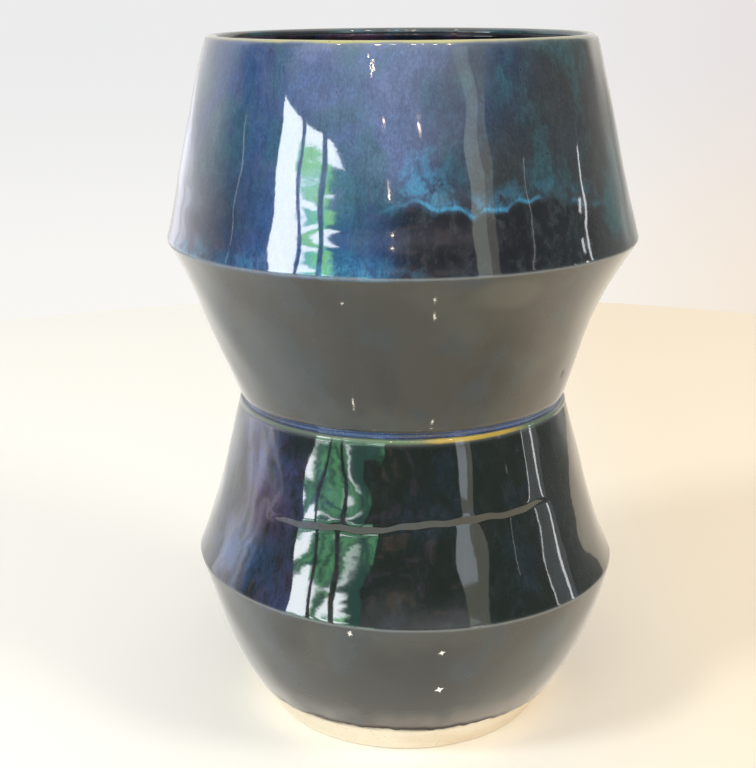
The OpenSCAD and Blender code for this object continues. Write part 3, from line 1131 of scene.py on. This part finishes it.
def window_material():
    """Bright sky with trees in front of it, thicker lower down and to the right."""
    material = light_material("window_light", SKY, WINDOW_POWER)
    n = Nodes(material.node_tree)
    here = n.add("TexCoord", output=3)
    n.locate(here)
    wide = n.add("Mapping", {"Vector": here, "Scale": (2, 2, 20), "Location": (0.4, 0, 0.2)})
    cover = tree_cover(n, n.noise(wide, 1.0, 0.6, 0.3))
    twigs = n.noise(wide, 3.4, 3, 0.65)
    low = n.upwards((0.52, 0.44))
    high_leaves = n.mix(n.band(cover, 0.52, 0.62), LEAF_EDGE, n.mix(low, LEAVES, LOW_LEAVES))
    low_leaves = n.mix(n.band(twigs, 0.4, 0.58), LOW_LEAVES, LEAF_SHADE)
    colour = n.mix(n.band(cover, 0.42, 0.54), SKY, n.mix(low, high_leaves, low_leaves))
    shaken = n.noise(n.add("Mapping", {"Vector": here, "Scale": (0, 0, 1)}), 22, 1, 0.5)
    torn = n.band(n.plus(n.azimuth, n.times(shaken, 34.0)), -17, -13)
    colour = n.over(colour, LEAF_SHADE, torn, n.upwards((0.34, 0.37)))
    n.put(n.tree.nodes["Emission"].inputs[0], colour)
    return material


# Upright panels of light: name, colour, power, and the azimuths and heights of each
LIT_PANELS = (
    ("doorway_cool", (0.86, 0.93, 1.0), 2.1, ((32, 39.5, -0.1, 0.42),)),
    ("doorway_warm", (1.0, 0.95, 0.8), 0.8, ((39.5, 45, -0.1, 1.2), (32, 39.5, 0.42, 0.55))),
    ("doorway_tall", (0.95, 1.0, 0.88), 1.5, ((33, 41, 0.55, 1.2),)),
    ("bars", (0.95, 0.98, 1.0), 5.5, (
        (84, 84.6, 0.05, 0.4), (94, 95.6, 0.0, 0.4), (98, 99.2, 0.33, 0.49))),
    ("faint_bars", (1.0, 0.96, 0.92), 2.2, (
        (66, 66.4, 0.05, 0.26), (-87, -86.5, 0.38, 0.6), (63, 63.4, 0.45, 0.6))),
    ("panelling", (0.9, 0.95, 1.0), 0.45, ((84.6, 100, -0.05, 0.4),)),
)
# Small lamps by azimuth and height, and their sizes
LAMPS = (
    (-16, 1.089), (-13.4, 1.035), (-12.2, 1.015), (-12.9, 0.985), (-14.2, 1.0), (-11.5, 1.0),
    (-12.4, 1.055), (-13.6, 0.965), (-8.5, 0.79), (9, 0.81), (-6, 0.67))
LAMP_SIZE = (1, 0.007)
CEILING_LAMPS = ((-16, 2.2), (-9, 2.6), (3, 2.3), (12, 2.7), (24, 2.2), (-52, 2.3), (38, 2.1))
CEILING_LAMP_SIZE = (3.5, 0.2)
LAMP_LIGHT = ((1.0, 0.78, 0.55), 60.0)
# Stars of light on the table, in millimetres, for the glints on the lower walls
GLINTS = ((-97, -160), (54, -156), (-53, -128), (25, -95), (31, -124), (57, -169))
GLINT_CORNERS = [
    (3.4 * share * math.cos(turn * math.pi / 4), 2.2 * share * math.sin(turn * math.pi / 4))
    for turn, share in enumerate((1, 0.4) * 4)]
GLINT_UP = 0.5
GLINT_LIGHT = ((1.0, 0.9, 0.74), 17.0)


def make_glints():
    """Small stars of light that the lower walls mirror."""
    corners = [(x + dx, y + dy, GLINT_UP) for x, y in GLINTS for dx, dy in GLINT_CORNERS]
    points = len(GLINT_CORNERS)
    faces = [tuple(range(i, i + points)) for i in range(0, len(corners), points)]
    glints = stage_mesh("glints", (np.array(corners) * MM).tolist(), faces)
    glints.data.materials.append(light_material("glint_light", *GLINT_LIGHT))
    only_mirrored(glints)


def make_reflected_room():
    """What the glaze mirrors: a window, a lit doorway, furniture and small lamps."""
    glowing("window", WINDOW_PANES, window_material())
    for name, colour, power, panels in LIT_PANELS:
        light = light_material(name + "_light", colour, power)
        distance = PANELLING_R if name == "panelling" else ROOM_R
        glowing(name, [upright(*panel) for panel in panels], light, distance)
    lamps = [
        upright(azimuth, azimuth + width, low, low + tall)
        for places, (width, tall) in ((LAMPS, LAMP_SIZE), (CEILING_LAMPS, CEILING_LAMP_SIZE))
        for azimuth, low in places]
    glowing("lamps", lamps, light_material("lamp_light", *LAMP_LIGHT))
    make_glints()


def pale_sides(n, noise_at):
    """The pale walls to the left and right, with hazy light low on the left."""
    n.lay(LEFT_WALL, n.sideways((-90, -118)))
    low_left = n.times(n.sideways((-76, -106)), n.upwards((3, -2)), n.upwards((-8.5, -3.5)))
    hazy = n.band(n.noise(noise_at, 1.0, 1, 0.5), 0.3, 0.75)
    n.lay(LEFT_LIGHT, low_left, n.plus(0.35, hazy))
    gap = n.times(n.beside((146, 6)), n.upwards((3, -1)))
    right = n.times(n.sideways((129, 141)), n.minus(1.0, gap))
    n.lay(RIGHT_WALL, right, n.plus(0.24, n.times(n.upwards((0.5, 6)), 0.66)))


def mirrored_room(n, view):
    """A dim, cluttered room with a bright ceiling and pale walls, by azimuth and elevation."""
    noise_at = n.add("Mapping", {"Vector": view, "Scale": (4.0, 4.0, 30.0)})
    clutter = n.band(n.noise(noise_at, 1.0, 2, 0.6), 0.54, 0.64)
    tone = n.mix(n.band(n.noise(noise_at, 0.6, 1), 0.42, 0.58), BROWN_SHADE, PLUM_SHADE)
    n.colour = n.over(ROOM_SHADE, tone, clutter, n.sideways((50, 30)))
    n.lay(ROOM_CEILING, n.upwards((13, 27)), n.sideways((-74, -62)), n.sideways((58, 36)))
    pale_sides(n, noise_at)
    n.lay(BACK_WALL, n.band(n.math("ABSOLUTE", n.azimuth), 150, 165))
    n.lay(ROOM_CEILING, n.upwards((34, 60)))
    n.lay(ROOM_FLOOR, n.upwards((-8, -13)))
    return n.colour


def seen_backdrop(n, view):
    """Plain off-white, warmer to the right."""
    horizon = n.upwards((-2, -13))
    across = n.add("SeparateXYZ", {0: view})
    plain = n.mix(horizon, WALL_WHITE, HORIZON_WHITE)
    return n.over(plain, n.mix(horizon, PINK_WHITE, WARM_WHITE), n.band(across, 0.02, 0.34), 0.8)


def make_world():
    """A plain backdrop, soft light for the table, and a room for the glaze to mirror."""
    world = bpy.data.worlds.new("studio")
    bpy.context.scene.world = world
    world.use_nodes = True
    n = Nodes(world.node_tree)
    view = n.add("TexCoord", output=0)
    n.locate(view)
    n.height = n.math("DEGREES", n.math("ARCSINE", n.height))  # here the angle of elevation
    rays = n.add("LightPath").node
    mirrored = n.add("Background", {"Color": mirrored_room(n, view)})
    soft = n.add("Background", {"Color": SOFT_LIGHT, "Strength": SOFT_POWER})
    backdrop = n.add("Background", {"Color": seen_backdrop(n, view)})
    lit = n.add("MixShader", {0: rays.outputs["Is Glossy Ray"], 1: soft, 2: mirrored})
    whole = n.add("MixShader", {0: rays.outputs["Is Camera Ray"], 1: lit, 2: backdrop})
    n.put(n.tree.nodes["World Output"].inputs[0], whole)


def make_softbox(name, at, power, size, tint):
    """A large soft lamp aimed at the vase, that the glaze doesn't mirror."""
    data = bpy.data.lights.new(name, "AREA")
    data.size = size
    data.energy = power
    data.color = tint
    lamp = placed(name, data)
    lamp.location = at
    lamp.rotation_euler = (Vector(AIM) - Vector(at)).to_track_quat("-Z", "Y").to_euler()
    lamp.visible_glossy = False


def make_room():
    """The table, the light and everything that the glaze mirrors."""
    make_table()
    make_world()
    make_reflected_room()
    for softbox in SOFTBOXES:
        make_softbox(*softbox)
    bpy.context.scene.view_settings.view_transform = "Standard"


make_camera()
make_room()
make_vase()
